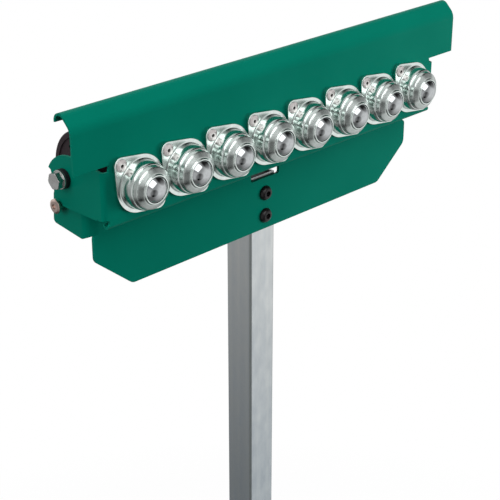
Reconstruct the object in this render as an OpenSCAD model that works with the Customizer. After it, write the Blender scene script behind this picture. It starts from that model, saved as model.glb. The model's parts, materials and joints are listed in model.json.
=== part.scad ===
// Pedestal work stand with a three-way head: a smooth top bead, a row of
// ball transfer units on the front plate, and a roller inside the channel.
// X runs along the head, the balls face -Y, Z is up, and the origin is on
// the floor under the mast. All sizes are in millimetres.

/* [Head] */
// Height of the ball centres above the floor, as the photograph shows the mast drawn out
ball_line_h = 980; // [960:1:1040]
// Length of the head over its two side panels
head_len = 413; // [404:1:450]
// Length of each wing past the side panel
wing_len = 27.6; // [10:0.1:60]
// Thickness of the head's folded sheet
sheet_t = 2; // [1.5:0.1:2.4]
// Height of the plate's lower edge below the ball line
plate_below = 32.5; // [31:0.1:34]
// Height of the wings' lower edge above the ball line
wing_bottom = 22; // [21.5:0.1:24]
// Outer radius of the rolled bead on top
bead_r = 7; // [6:0.1:8]
// Height of the bead's centre above the ball line
bead_z = 62.7; // [52:0.1:64]
// Distance of the bead's centre behind the plate's face
bead_back = 13.6; // [12:0.1:16]
// Outer radius of the bend where the plate starts to lean back
lean_r = 12; // [8:0.5:14]
// How far the sheet leans back below the bead, in degrees
bead_lean = 45; // [38:1:50]
// How far the bead turns past the leaning part, in degrees
bead_turn = 147; // [110:1:160]
// Outer radius of the fold between plate and side panel
fold_r = 4; // [3:0.1:5]
// Depth of the side panels, from the plate's face to the tip of their rounded back
panel_depth = 68.8; // [66:0.1:69]
// Depth of the side panels below the pivot
panel_back = 63.2; // [60:0.1:63.4]
// Height of the side panels' top edge above the ball line
panel_top = 19.9; // [18:0.1:21]
// Height of the side panels' lower edge below the ball line
panel_below = 25.6; // [24:0.1:26]
// Radius of the side panels' rounded back
panel_arc_r = 30; // [24:0.5:32]
// Outer radius of the lip that turns back and up under the plate
lip_r = 3.7; // [3:0.1:4.2]

/* [Ball units] */
// Distance between neighbouring ball units
unit_pitch = 48.8; // [48.6:0.1:49.6]
// Diameter of the main ball
ball_d = 25.4; // [24:0.1:25.6]
// Distance of the ball's centre in front of the plate
ball_out = 15.5; // [15.4:0.1:16.2]
// Radius of the round part of the flange
flange_r = 24.2; // [22.8:0.1:24.2]
// Thickness of the flange
flange_t = 3.2; // [2.4:0.1:4]
// Radius of the flange's two lobes
lobe_r = 7; // [6:0.1:8]
// Distance of each rivet from the unit's centre
rivet_reach = 27.3; // [26.8:0.1:28.4]
// Angle of the rivets above the row, in degrees
rivet_angle = 46.5; // [44:0.5:49]
// Outer radius of the cup
cup_r = 20.2; // [19:0.1:20.6]
// Height of the seam between cup and cap
seam_out = 15; // [14.2:0.1:15.6]
// Outer radius of the cap at the seam
cap_r = 18.6; // [18:0.1:19]
// Distance of the cap's lip in front of the plate
lip_out = 23; // [22.4:0.1:23.4]
// Outer radius of the cap's lip
lip_ring_r = 12.4; // [12:0.1:13]
// Radius of the opening that the ball looks out of
opening_r = 10.8; // [10.4:0.1:11.2]
// Diameter of the small bearing balls
small_ball_d = 2.2; // [1.8:0.1:2.3]
// Diameter of the rivets' shanks
rivet_d = 4; // [3.2:0.1:4.8]
// Diameter of the rivets' heads
rivet_head_d = 10.8; // [9:0.1:10.8]

/* [Pivot and roller] */
// Distance of the pivot behind the plate's face
pivot_depth = 48.3; // [47.6:0.1:48.8]
// Distance of the pivot behind the mast's axis
pivot_back = 4.3; // [3.5:0.1:5.5]
// Diameter of the pivot bolts
pivot_d = 8; // [7:0.1:9]
// Size of the pivot bolts' heads across the flats
pivot_hex = 13; // [12:0.5:14]
// Height of the pivot bolts' heads
pivot_head_h = 5.3; // [4:0.1:7]
// Diameter of the nylon bushes' flanges
bush_flange_d = 16.6; // [15.6:0.1:20]
// Thickness of the nylon bushes' flanges
bush_flange_t = 4.4; // [2:0.1:6]
// Diameter of the nylon bushes' barrels
bush_d = 12; // [11:0.1:13.4]
// Diameter of the roller
roller_d = 69; // [60:0.5:70]
// Wall of the roller's tube
roller_wall = 2; // [1.5:0.1:4]
// Distance of the roller's end face from the ear
roller_end_gap = 10.2; // [7:0.1:14]
// Diameter of the roller's axle
axle_d = 16; // [14:0.1:18]
// Outer diameter of the roller's bearings
bearing_d = 32; // [28:0.5:36]
// Width of the roller's bearings
bearing_w = 10; // [8:0.5:12]

/* [Bracket] */
// Thickness of the bracket's plate
bracket_t = 2.8; // [2.4:0.1:3.4]
// Gap between an ear of the bracket and the side panel
ear_gap = 2.5; // [2:0.1:4]
// Height of the bracket's top edge below the ball line
bracket_top = 31; // [30.5:0.5:38]
// Height of the bracket's bottom edge below the ball line
bracket_bottom = 101.8; // [98:0.1:110]
// Height of each lower corner cut
corner_cut_h = 32; // [20:0.5:36]
// Width of each lower corner cut
corner_cut_w = 39; // [20:0.5:60]
// Outer radius of the bends between the plate and the ears
bend_r = 10.4; // [6:0.1:11]
// Distance of the ears' back edge behind the pivot
ear_back = 24; // [20:0.1:26]
// Radius of the ears round the pivot
ear_r = 14; // [12:0.1:14.6]
// Distance of the ears' lower back corner below the ball line
ear_below = 46.6; // [44:0.1:48]
// How much lower the ears are at the front than at the back
ear_slope = 4.4; // [1:0.1:6]
// Distance of the stop screws behind the pivot
stop_back = 10.2; // [9:0.1:10.4]
// Distance of the stop screws below the pivot
stop_below = 26.6; // [26.4:0.1:27.2]
// Height of the ears' upright back edge
ear_back_h = 27; // [22:0.5:28]
// How far the plate's lower part stands in from the ears' faces
tab_in = 3.8; // [1:0.1:6]
// Height of the plate's lower part above the ears' lowest point
tab_rise = 5; // [3:0.1:7]
// Diameter of the stop screws
stop_d = 8; // [7:0.1:8]
// Diameter of the stop screws' heads
stop_head_d = 12.4; // [11:0.1:14]

/* [Mast] */
// Width of the square mast
mast_w = 31.75; // [28:0.25:32]
// Wall of the mast
mast_wall = 2; // [1.5:0.1:3]
// Length of the mast
mast_len = 505; // [480:1:508]
// Height of the mast's top end below the ball line
mast_top = 50.4; // [48:0.1:51]
// Width of the notch that shows the top end of the mast
notch_w = 36; // [33:0.5:44]
// Height of the notch's floor below the ball line
notch_below = 52; // [51:0.1:54]
// Height of the upper bracket screw below the ball line
screw_below = 66.6; // [65:0.1:70]
// Distance between the bracket screws
screw_pitch = 22; // [18:0.1:23]
// Diameter of the bracket screws
screw_d = 8; // [6:0.1:8]

/* [Column and base] */
// Width of the square column
column_w = 38.1; // [37.6:0.1:42]
// Wall of the column
column_wall = 2; // [1.5:0.1:2.2]
// Length of the mast that stays in the column, as the photograph shows it drawn out
mast_inside = 115.4; // [100:0.2:130]
// Height of the column's lower end above the floor
column_bottom = 50; // [40:1:56]
// Height of the lock knob below the column's top end
knob_below = 38; // [34:1:60]
// Diameter of the lock knob
knob_d = 52; // [40:1:60]
// Diameter of the lock knob's threaded stem
stem_d = 10; // [8:0.1:12]
// Reach of the legs from the column's axis
leg_reach = 268; // [220:1:320]
// Width of a leg
leg_w = 30; // [28:0.5:34]
// Thickness of the legs' sheet
leg_t = 2.5; // [2:0.1:3]
// Height of a leg where it meets the column
leg_root_h = 84; // [80:1:100]
// Height of a leg at its outer end
leg_tip_h = 22; // [16:1:30]
// Diameter of the rubber feet
foot_d = 32; // [26:1:36]
// Height of the rubber feet
foot_h = 14; // [11:1:20]

/* [Hidden] */
$fn = 48;

unit_count = 8;
running_gap = 0.06;
fit_gap = 0.04;
slide_gap = 0.2;
face_gap = 0.1;
cut = 1;

green = "#007A62";
zinc = "#BFC4C4";
steel = "#D8DADC";
black = "#1E1E20";
dark_nylon = "#2D2628";

// Places that follow from the sizes above
front_y = pivot_back - pivot_depth;
panel_x = head_len / 2;
wing_x = panel_x + wing_len;
ear_x = panel_x - sheet_t - ear_gap;
ear_in_x = ear_x - bracket_t;
plate_flat_x = panel_x - fold_r;
bracket_y = -mast_w / 2 - bracket_t;
rivet_x = rivet_reach * cos(rivet_angle);
rivet_z = rivet_reach * sin(rivet_angle);
roller_end_x = ear_in_x - roller_end_gap;
roller_flange_t = 3;
bush_out_x = panel_x + bush_flange_t;
washer_t = 1.2;
washer_d = 2 * pivot_d;
washer_x = bush_out_x + face_gap;
head_x = washer_x + washer_t;
mast_top_z = ball_line_h - mast_top;
mast_bottom_z = mast_top_z - mast_len;
column_top = mast_bottom_z + mast_inside;
column_bore = column_w - 2 * column_wall;
knob_z = column_top - knob_below;
leg_angles = [0, 90, 180, 270];
leg_bolt_low = 20;
leg_bolt_pitch = 40;
leg_bolt_z = [column_bottom + leg_bolt_low, column_bottom + leg_bolt_low + leg_bolt_pitch];
leg_bolt_d = 8;
leg_bolt_hex = 13;
leg_nut_h = 6.3;
leg_end_margin = 6;
foot_r = leg_reach - foot_d / 2 - leg_end_margin;
foot_screw_d = 6;
foot_screw_seat = 3;
foot_nut_h = 5;
knob_nut_h = 9;
bracket_nut_h = 6.5;
stop_nut_h = 5;
stop_gap = 0.3;
stop_cut_angle = 36;
tap_depth = 20;
bearing_inset = 1.5;
flat_tab = 1;
bend_x = ear_x - bend_r;
ear_low = ear_below + ear_slope;
ear_front_y = bracket_y + bend_r - pivot_back;
ear_neck = 10;
ear_taper = 2.4;
ear_shoulder = 18;
ear_crest = 24;
panel_arc_end = 28;
panel_dip = 3.2;
panel_dip_len = 13;
panel_step = 2.8;
cap_hole_r = 22.9;
cap_hole_d = 3.2;
cap_hole_a = 39;
plug_gap = 2;
plug_h = screw_below - screw_d / 2 - mast_top - plug_gap - 1.2;
relief_d = 6;
relief_in = 3.4;
relief_taper = 1.2;

// The side panel's lower back corner is cut along a line that rests on the stop screw
stop_reach = stop_d / 2 + stop_gap;
stop_cut_y = pivot_depth + stop_back - stop_reach * sin(stop_cut_angle)
    + (stop_below - panel_below - stop_reach * cos(stop_cut_angle)) / tan(stop_cut_angle);
stop_cut_rise = (panel_back - stop_cut_y) * tan(stop_cut_angle);

// A turned-out corner of a flat outline, as points on its arc
function unit(v) = v / norm(v);
function corner_arc(a, b, c, r, n) =
    let (
        u = unit(a - b),
        w = unit(c - b),
        half = acos(u * w) / 2,
        mid = b + unit(u + w) * r / sin(half),
        p = b + u * r / tan(half),
        q = b + w * r / tan(half),
        start = atan2(p[1] - mid[1], p[0] - mid[0]),
        end = atan2(q[1] - mid[1], q[0] - mid[0]),
        turn = (end - start + 540) % 360 - 180
    )
    r <= 0 ? [b] : [for (i = [0 : n]) mid + r * [cos(start + turn * i / n), sin(start + turn * i / n)]];
function rounded(points, radii, n = 6) =
    let (k = len(points))
    [for (i = [0 : k - 1])
        each corner_arc(points[(i + k - 1) % k], points[i], points[(i + 1) % k], radii[i], n)];

// Points on an arc from angle a to angle b
function arc_points(mid, r, a, b, n) =
    [for (i = [0 : n]) mid + r * [cos(a + (b - a) * i / n), sin(a + (b - a) * i / n)]];

function unit_x(i) = (i - (unit_count + 1) / 2) * unit_pitch;

// Draws a flat outline of depth and height, and gives it a length along X
module along_x(x0, x1) {
    translate([x0, 0, 0])
        rotate([90, 0, 90])
            linear_extrude(x1 - x0)
                children();
}

// Draws a turned shape, whose own Z axis points out of the ball plate
module out_of_plate(x, z = 0) {
    translate([x, front_y, ball_line_h + z])
        rotate([90, 0, 0])
            children();
}

// Draws a turned shape on the pivot's axis, for one end of the head
module at_end(side, y = 0, z = 0) {
    translate([0, pivot_back + y, ball_line_h + z])
        rotate([0, side * 90, 0])
            children();
}

module both_ends(y = 0, z = 0) {
    for (side = [-1, 1])
        at_end(side, y, z)
            children();
}

module ring(outer_d, inner_d, h) {
    difference() {
        cylinder(d = outer_d, h = h);
        translate([0, 0, -cut])
            cylinder(d = inner_d, h = h + 2 * cut);
    }
}

module hex_prism(across_flats, h) {
    rotate([0, 0, 30])
        cylinder(d = across_flats / cos(30), h = h, $fn = 6);
}

module hex_nut(across_flats, bore, h) {
    difference() {
        intersection() {
            hex_prism(across_flats, h);
            cylinder(d1 = across_flats * 1.08, d2 = across_flats * 1.08 + 2 * h, h = h);
            cylinder(d1 = across_flats * 1.08 + 2 * h, d2 = across_flats * 1.08, h = h);
        }
        translate([0, 0, -cut])
            cylinder(d = bore, h = h + 2 * cut);
    }
}

module square_tube(width, wall, corner_r, h) {
    linear_extrude(h)
        difference() {
            square_outline(width, corner_r);
            square_outline(width - 2 * wall, max(corner_r - wall, 0.5));
        }
}

module square_outline(width, corner_r) {
    half = width / 2;
    polygon(rounded([[half, half], [-half, half], [-half, -half], [half, -half]],
        [for (i = [0 : 3]) corner_r]));
}

// The head's sheet: flat plate, bead, back-turned lip, wings and side panels
module head_plate() {
    color(green)
        difference() {
            translate([0, front_y, ball_line_h]) {
                along_x(-wing_x, wing_x)
                    upper_section();
                along_x(-plate_flat_x, plate_flat_x)
                    lower_section();
                for (side = [-1, 1])
                    mirrored(side)
                        side_panel();
            }
            rivet_holes(rivet_d + 2 * fit_gap);
            both_ends()
                cylinder(d = bush_d + 2 * fit_gap, h = wing_x);
            for (side = [-1, 1]) {
                corner_relief(side);
                mirrored(side)
                    wing_relief();
            }
        }
}

// Draws its children for the right end, or mirrored for the left end
module mirrored(side) {
    if (side > 0)
        children();
    else
        mirror([1, 0, 0])
            children();
}

// The sheet rises, leans back and rolls over at the top
module upper_section() {
    lean_z = bead_z + (bead_r - lean_r + cos(bead_lean) * (lean_r - bead_back)) / sin(bead_lean);
    turned = 180 - bead_lean;
    end = turned - bead_turn;
    polygon(concat(
        [[0, wing_bottom]],
        arc_points([lean_r, lean_z], lean_r, 180, turned, 8),
        arc_points([bead_back, bead_z], bead_r, turned, end, 24),
        arc_points([bead_back, bead_z], bead_r - sheet_t, end, turned, 24),
        arc_points([lean_r, lean_z], lean_r - sheet_t, turned, 180, 8),
        [[sheet_t, wing_bottom]]
    ));
}

// The plate ends in a lip that turns through half a circle
module lower_section() {
    translate([0, lip_r - plate_below])
        square([sheet_t, wing_bottom + plate_below - lip_r + cut]);
    translate([lip_r, lip_r - plate_below])
        intersection() {
            difference() {
                circle(r = lip_r);
                circle(r = lip_r - sheet_t);
            }
            translate([-lip_r, -lip_r])
                square([2 * lip_r, lip_r]);
        }
}

// A sheet folded through a right angle: a quarter ring, with a short flat at each end that lies
// inside the sheets it joins
module fold_strip(r, t) {
    intersection() {
        difference() {
            circle(r = r);
            circle(r = r - t);
        }
        translate([0, -r])
            square(r);
    }
    translate([-flat_tab, -r])
        square([flat_tab, t]);
    translate([r - t, 0])
        square([t, flat_tab]);
}

// The panel's front edge dips under the wing, and its back is round above the pivot
module side_panel() {
    arc_n = 10;
    fold_top = panel_top - panel_dip;
    arc_mid = [panel_depth - panel_arc_r * cos(panel_arc_end), panel_top - panel_arc_r];
    arc_tip_z = arc_mid[1] + panel_arc_r * sin(panel_arc_end);
    panel_outline = rounded(
        concat(
            [[fold_r, fold_top], [fold_r, -panel_below], [stop_cut_y, -panel_below],
                [panel_back, stop_cut_rise - panel_below], [panel_back, arc_tip_z - 4 * panel_step],
                [panel_depth - panel_step, arc_tip_z - panel_step / 2]],
            arc_points(arc_mid, panel_arc_r, panel_arc_end, 90, arc_n),
            [[fold_r + panel_dip_len, panel_top]]
        ),
        concat([0, 0, 2, 5, 3, 1], [for (i = [0 : arc_n]) 0], [3]));
    along_x(panel_x - sheet_t, panel_x)
        polygon(panel_outline);
    translate([plate_flat_x, fold_r, -panel_below])
        linear_extrude(panel_below + fold_top)
            fold_strip(fold_r, sheet_t);
}

// A wedge between wing and panel lets the sheet be folded
module wing_relief() {
    fold_top = panel_top - panel_dip;
    translate([plate_flat_x, front_y + fold_r, ball_line_h])
        rotate([90, 0, 0])
            linear_extrude(fold_r + cut)
                polygon([
                    [-relief_in, wing_bottom], [relief_taper - relief_in, fold_top],
                    [cut, fold_top], [cut, wing_bottom]
                ]);
}

// A small round hole takes the strain where fold and lip would meet
module corner_relief(side) {
    out = plate_flat_x + 0.4 * fold_r;
    translate([side * out, front_y + fold_r, ball_line_h - panel_below - 0.8])
        rotate([90, 0, 0])
            cylinder(d = relief_d, h = 3 * fold_r, center = true, $fn = 24);
}

module rivet_holes(d) {
    for (i = [1 : unit_count], s = [-1, 1])
        out_of_plate(unit_x(i) - s * rivet_x, s * rivet_z)
            cylinder(d = d, h = 12, center = true, $fn = 24);
}

// Outline of the flange: a disc with two lobes joined to it by tangent lines
module flange_outline() {
    lean = acos((flange_r - lobe_r) / rivet_reach);
    circle(r = flange_r);
    for (s = [0, 180])
        rotate(180 - rivet_angle + s) {
            translate([rivet_reach, 0])
                circle(r = lobe_r);
            polygon([
                flange_r * [cos(lean), sin(lean)],
                [rivet_reach, 0] + lobe_r * [cos(lean), sin(lean)],
                [rivet_reach, 0] + lobe_r * [cos(lean), -sin(lean)],
                flange_r * [cos(lean), -sin(lean)]
            ]);
        }
}

// The cup and its flange are one forging, with a round seat for the small balls
module ball_cup(i) {
    seat_r = ball_d / 2 + small_ball_d + face_gap;
    color(zinc)
        out_of_plate(unit_x(i))
            difference() {
                union() {
                    linear_extrude(flange_t)
                        flange_outline();
                    rotate_extrude()
                        polygon([
                            [0, 0], [cup_r + 1.6, 0], [cup_r + 1.6, flange_t],
                            [cup_r + 0.7, flange_t + 0.5], [cup_r + 0.2, flange_t + 1.6],
                            [cup_r, seam_out - 2.4], [cup_r - 0.5, seam_out - 1.2],
                            [cap_r + 0.3, seam_out], [0, seam_out]
                        ]);
                }
                translate([0, 0, ball_out])
                    sphere(r = seat_r);
                for (s = [-1, 1])
                    translate([-s * rivet_x, s * rivet_z, -cut])
                        cylinder(d = rivet_d + 2 * fit_gap, h = flange_t + 2 * cut, $fn = 24);
            }
}

// The cap holds the ball in, and its lip leaves a narrow gap round the ball
module ball_cap(i) {
    rise = lip_out - seam_out;
    color(zinc)
        out_of_plate(unit_x(i))
            difference() {
                rotate_extrude()
                    polygon([
                        [0, seam_out], [cap_r - 0.6, seam_out], [cap_r - 0.6, seam_out + 0.5],
                        [cap_r, seam_out + 0.9], [cap_r - 0.3, seam_out + 0.35 * rise],
                        [cap_r - 1.2, seam_out + 0.47 * rise],
                        [lip_ring_r + 1.2, seam_out + 0.78 * rise],
                        [lip_ring_r + 0.2, seam_out + 0.84 * rise], [lip_ring_r, lip_out - 0.5],
                        [lip_ring_r - 0.5, lip_out], [opening_r + 0.3, lip_out],
                        [opening_r, lip_out - 0.4], [opening_r, seam_out + cut],
                        [0, seam_out + cut]
                    ]);
                translate([0, 0, ball_out])
                    sphere(r = ball_d / 2 + 0.4);
            }
}

module main_ball(i) {
    color(steel)
        out_of_plate(unit_x(i))
            translate([0, 0, ball_out])
                sphere(d = ball_d);
}

// Nine small balls carry each main ball in its cup
module bearing_balls() {
    orbit = (ball_d + small_ball_d + face_gap) / 2;
    color(steel)
        for (i = [1 : unit_count])
            out_of_plate(unit_x(i))
                translate([0, 0, ball_out]) {
                    translate([0, 0, -orbit])
                        sphere(d = small_ball_d, $fn = 16);
                    for (a = [0 : 45 : 315])
                        rotate([0, 0, a])
                            translate([orbit * sin(44), 0, -orbit * cos(44)])
                                sphere(d = small_ball_d, $fn = 16);
                }
}

// Blind rivets: a wide flat head with the mandrel's hole, and a bulb behind the plate
module flange_rivets() {
    head_r = rivet_head_d / 2;
    bulb_r = rivet_d / 2 + 1;
    hole_r = 1.4;
    color(zinc)
        for (i = [1 : unit_count], s = [-1, 1])
            out_of_plate(unit_x(i) - s * rivet_x, s * rivet_z)
                rotate_extrude($fn = 24)
                    polygon([
                        [0, -sheet_t - 4], [bulb_r - 0.6, -sheet_t - 4], [bulb_r, -sheet_t - 3.4],
                        [bulb_r, -sheet_t - 0.8], [rivet_d / 2, -sheet_t - face_gap],
                        [rivet_d / 2, flange_t], [head_r, flange_t], [head_r, flange_t + 0.5],
                        [head_r * 0.9, flange_t + 0.9], [head_r * 0.5, flange_t + 1.1],
                        [hole_r, flange_t + 1.1], [hole_r, flange_t - 2], [0, flange_t - 2]
                    ]);
}

// Nylon bushes sit in the side panels and turn on the pivot bolts
module pivot_bushes() {
    color(black)
        both_ends()
            difference() {
                union() {
                    translate([0, 0, panel_x])
                        cylinder(d = bush_flange_d, h = bush_flange_t);
                    translate([0, 0, ear_x + face_gap])
                        cylinder(d = bush_d, h = panel_x - ear_x);
                }
                translate([0, 0, ear_x])
                    cylinder(d = pivot_d + 2 * running_gap, h = bush_out_x - ear_x + cut);
            }
}

module spacer_washers() {
    color(black)
        both_ends()
            translate([0, 0, ear_x])
                ring(bush_flange_d + 1, bush_d + 2 * running_gap, ear_gap - face_gap);
}

module pivot_washers() {
    color(zinc)
        both_ends()
            translate([0, 0, washer_x])
                ring(washer_d, pivot_d + 2 * fit_gap, washer_t);
}

module pivot_bolts() {
    color(zinc)
        both_ends() {
            translate([0, 0, ear_in_x - tap_depth])
                cylinder(d = pivot_d, h = head_x - ear_in_x + tap_depth);
            translate([0, 0, head_x])
                intersection() {
                    rotate([0, 0, 15])
                        hex_prism(pivot_hex, pivot_head_h);
                    cylinder(d1 = pivot_hex * 1.07 + 2 * pivot_head_h, d2 = pivot_hex * 1.07,
                        h = pivot_head_h);
                }
        }
}

// The axle is clamped between the ears, and its ends are tapped for the pivot bolts
module roller_axle() {
    color(steel)
        difference() {
            at_end(1)
                translate([0, 0, -ear_in_x])
                    cylinder(d = axle_d, h = 2 * ear_in_x);
            both_ends()
                translate([0, 0, ear_in_x - tap_depth - 2])
                    cylinder(d = pivot_d + 2 * fit_gap, h = tap_depth + 2 + cut);
        }
}

module axle_spacers() {
    sleeve = ear_in_x - roller_end_x + bearing_inset - face_gap;
    color(zinc)
        both_ends()
            translate([0, 0, ear_in_x - sleeve])
                ring(axle_d + 5, axle_d + 2 * fit_gap, sleeve);
}

module roller_tube() {
    tube_x = roller_end_x - roller_flange_t;
    color(steel)
        at_end(1)
            translate([0, 0, -tube_x])
                ring(roller_d, roller_d - 2 * roller_wall, 2 * tube_x);
}

// A moulded end cap: a dished face, a rim on the tube's end and a bearing seat
module roller_cap(side) {
    plug_d = roller_d - 2 * roller_wall - 2 * fit_gap;
    plug_len = bearing_w + 6;
    color(dark_nylon)
        at_end(side)
            difference() {
                union() {
                    translate([0, 0, roller_end_x - roller_flange_t])
                        cylinder(d = roller_d, h = roller_flange_t - 0.8);
                    translate([0, 0, roller_end_x - 0.8])
                        cylinder(d1 = roller_d, d2 = roller_d - 1.6, h = 0.8);
                    translate([0, 0, roller_end_x - plug_len])
                        cylinder(d = plug_d, h = plug_len);
                }
                translate([0, 0, roller_end_x - bearing_inset - bearing_w])
                    cylinder(d = bearing_d + 2 * fit_gap, h = bearing_w + 5);
                translate([0, 0, roller_end_x - plug_len - cut])
                    cylinder(d = axle_d + 6, h = plug_len);
                translate([0, 0, roller_end_x - plug_len - cut])
                    ring(plug_d - 5, bearing_d + 6, plug_len - roller_flange_t);
                translate([0, 0, roller_end_x - 1])
                    ring(plug_d - 6, bearing_d + 8, 2);
                for (a = [cap_hole_a : 60 : cap_hole_a + 300])
                    rotate([0, 0, a])
                        translate([cap_hole_r, 0, roller_end_x - 2 * roller_flange_t])
                            cylinder(d = cap_hole_d, h = 3 * roller_flange_t, $fn = 24);
            }
}

module roller_bearings() {
    color(steel)
        both_ends()
            translate([0, 0, roller_end_x - bearing_inset - bearing_w])
                difference() {
                    ring(bearing_d, axle_d + 2 * running_gap, bearing_w);
                    translate([0, 0, bearing_w - 0.7])
                        ring(bearing_d - 5, axle_d + 6, 2);
                }
}

// The bracket: a front plate with cut corners, folded back into two ears
module head_bracket() {
    color(green)
        difference() {
            union() {
                front_outline();
                for (side = [-1, 1])
                    mirrored(side)
                        ear();
            }
            both_ends()
                cylinder(d = pivot_d + 2 * fit_gap, h = wing_x);
            both_ends(stop_back, -stop_below)
                cylinder(d = stop_d + 2 * fit_gap, h = wing_x);
            screw_holes();
        }
}

// The front plate is notched over the mast, and its lower part is wider than its bends
module front_outline() {
    side_x = ear_x - tab_in;
    half = notch_w / 2;
    top = -bracket_top;
    low = -bracket_bottom;
    tab_z = tab_rise - ear_low;
    outline = rounded(
        [
            [-half, top], [-half, -notch_below], [half, -notch_below], [half, top],
            [bend_x, top], [bend_x, tab_z], [side_x, tab_z],
            [side_x, low + corner_cut_h], [side_x - corner_cut_w, low],
            [corner_cut_w - side_x, low], [-side_x, low + corner_cut_h],
            [-side_x, tab_z], [-bend_x, tab_z], [-bend_x, top]
        ],
        [2, 2, 2, 2, 0, 0, 4, 8, 8, 8, 8, 4, 0, 0]);
    translate([0, bracket_y + bracket_t, ball_line_h])
        rotate([90, 0, 0])
            linear_extrude(bracket_t)
                polygon(outline);
}

// An ear is bent back from the plate, and its outline is cut through bend and flat alike
module ear() {
    plate_y = bracket_y - pivot_back - cut;
    outline = rounded(
        [
            [plate_y, tab_rise - ear_low], [ear_front_y, -ear_low], [ear_back, -ear_below],
            [ear_back - ear_taper, ear_back_h - ear_below], [ear_r, -ear_neck], [ear_r, 0], [-ear_r, 0],
            [-ear_r, -ear_shoulder], [ear_front_y, -ear_crest], [plate_y, -ear_crest]
        ],
        [0, 2, 3.5, 6, 4, 0, 0, 4, 0, 0]);
    intersection() {
        translate([0, pivot_back, ball_line_h])
            along_x(bend_x - 2 * flat_tab, ear_x + cut) {
                polygon(outline);
                circle(r = ear_r);
            }
        translate([bend_x, bracket_y + bend_r, ball_line_h - ear_low - cut])
            linear_extrude(ear_low + ear_r + 2 * cut) {
                fold_strip(bend_r, bracket_t);
                translate([bend_r - bracket_t, 0])
                    square([bracket_t, ear_back - ear_front_y + cut]);
            }
    }
}

module screw_holes() {
    for (k = [0, 1])
        translate([0, 0, ball_line_h - screw_below - k * screw_pitch])
            rotate([90, 0, 0])
                cylinder(d = screw_d + 2 * fit_gap, h = 3 * mast_w, center = true);
}

// Button-head screws with a hexagon socket pass through bracket and mast
module bracket_screws() {
    head_d = screw_d * 1.75;
    head_h = screw_d * 0.55;
    shank = bracket_t + mast_w + bracket_nut_h + 0.4;
    color(black)
        for (k = [0, 1])
            translate([0, bracket_y, ball_line_h - screw_below - k * screw_pitch])
                rotate([90, 0, 0])
                    difference() {
                        union() {
                            rotate_extrude()
                                polygon([
                                    [0, 0], [head_d / 2, 0], [head_d * 0.49, head_h * 0.3],
                                    [head_d * 0.42, head_h * 0.68], [head_d * 0.33, head_h * 0.92],
                                    [head_d * 0.24, head_h], [0, head_h]
                                ]);
                            translate([0, 0, -shank])
                                cylinder(d = screw_d, h = shank + 0.1);
                        }
                        translate([0, 0, head_h - screw_d * 0.35])
                            hex_prism(screw_d * 0.62, screw_d);
                    }
}

module bracket_nuts() {
    color(zinc)
        for (k = [0, 1])
            translate([0, mast_w / 2, ball_line_h - screw_below - k * screw_pitch])
                rotate([-90, 0, 0])
                    hex_nut(screw_d * 1.625, screw_d + 2 * fit_gap, bracket_nut_h);
}

// Stop screws: a flat round head stands clear of the side panel on a plain shank
module stop_screws() {
    head_in = panel_x + 2.2;
    head_t = 2.6;
    tail = ear_in_x - stop_nut_h - 1;
    color(zinc)
        both_ends(stop_back, -stop_below)
            difference() {
                union() {
                    translate([0, 0, tail])
                        cylinder(d = stop_d, h = head_in - tail + 0.1);
                    translate([0, 0, head_in])
                        cylinder(d = stop_head_d, h = head_t - 1);
                    translate([0, 0, head_in + head_t - 1])
                        cylinder(d1 = stop_head_d, d2 = stop_head_d - 4, h = 1);
                }
                translate([0, 0, head_in + head_t - 1.6])
                    hex_prism(4, 4);
            }
}

module stop_nuts() {
    color(zinc)
        both_ends(stop_back, -stop_below)
            translate([0, 0, ear_in_x - stop_nut_h])
                hex_nut(stop_d * 1.625, stop_d + 2 * fit_gap, stop_nut_h);
}

module mast_tube() {
    color(zinc)
        difference() {
            translate([0, 0, mast_bottom_z])
                square_tube(mast_w, mast_wall, 2.5, mast_len);
            screw_holes();
        }
}

// A nylon plug closes the mast's upper end, a little below its rim
module mast_plug() {
    color(black)
        translate([0, 0, mast_top_z - plug_gap - plug_h])
            linear_extrude(plug_h)
                square_outline(mast_w - 2 * mast_wall - 2 * fit_gap, 0.5);
}

// A nylon slider plugs the mast's lower end and guides it in the column
module mast_slider() {
    skirt = 12;
    color(black) {
        translate([0, 0, mast_bottom_z - skirt])
            linear_extrude(skirt)
                square_outline(column_bore - 2 * slide_gap, 1.5);
        translate([0, 0, mast_bottom_z])
            linear_extrude(18)
                square_outline(mast_w - 2 * mast_wall - 2 * face_gap, 0.5);
    }
}

module column_tube() {
    color(green)
        difference() {
            translate([0, 0, column_bottom])
                square_tube(column_w, column_wall, 3, column_top - column_bottom);
            translate([0, 0, knob_z])
                rotate([0, 90, 0])
                    cylinder(d = stem_d + 0.6, h = column_w);
            at_leg_bolts()
                cylinder(d = leg_bolt_d + 2 * fit_gap, h = column_w);
        }
}

// A nylon collar lines the column's mouth, with a rim that rests on its end
module column_bush() {
    rim_h = 5;
    sleeve_h = 22;
    color(black)
        translate([0, 0, column_top])
            difference() {
                union() {
                    linear_extrude(rim_h)
                        square_outline(column_w + 3, 4);
                    translate([0, 0, -sleeve_h])
                        linear_extrude(sleeve_h + cut)
                            square_outline(column_bore - 2 * fit_gap, 1.2);
                }
                translate([0, 0, -sleeve_h - cut])
                    linear_extrude(sleeve_h + rim_h + 2 * cut)
                        square_outline(mast_w + 2 * slide_gap, 2.5);
            }
}

module knob_nut() {
    color(zinc)
        translate([column_w / 2, 0, knob_z])
            rotate([0, 90, 0])
                hex_nut(stem_d * 1.7, stem_d + 2 * running_gap, knob_nut_h);
}

// The stem stops just short of the mast's face
module lock_stem() {
    tip = mast_w / 2 + face_gap;
    color(zinc)
        translate([tip, 0, knob_z])
            rotate([0, 90, 0])
                cylinder(d = stem_d, h = column_w / 2 - tip + knob_nut_h + 16);
}

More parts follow.
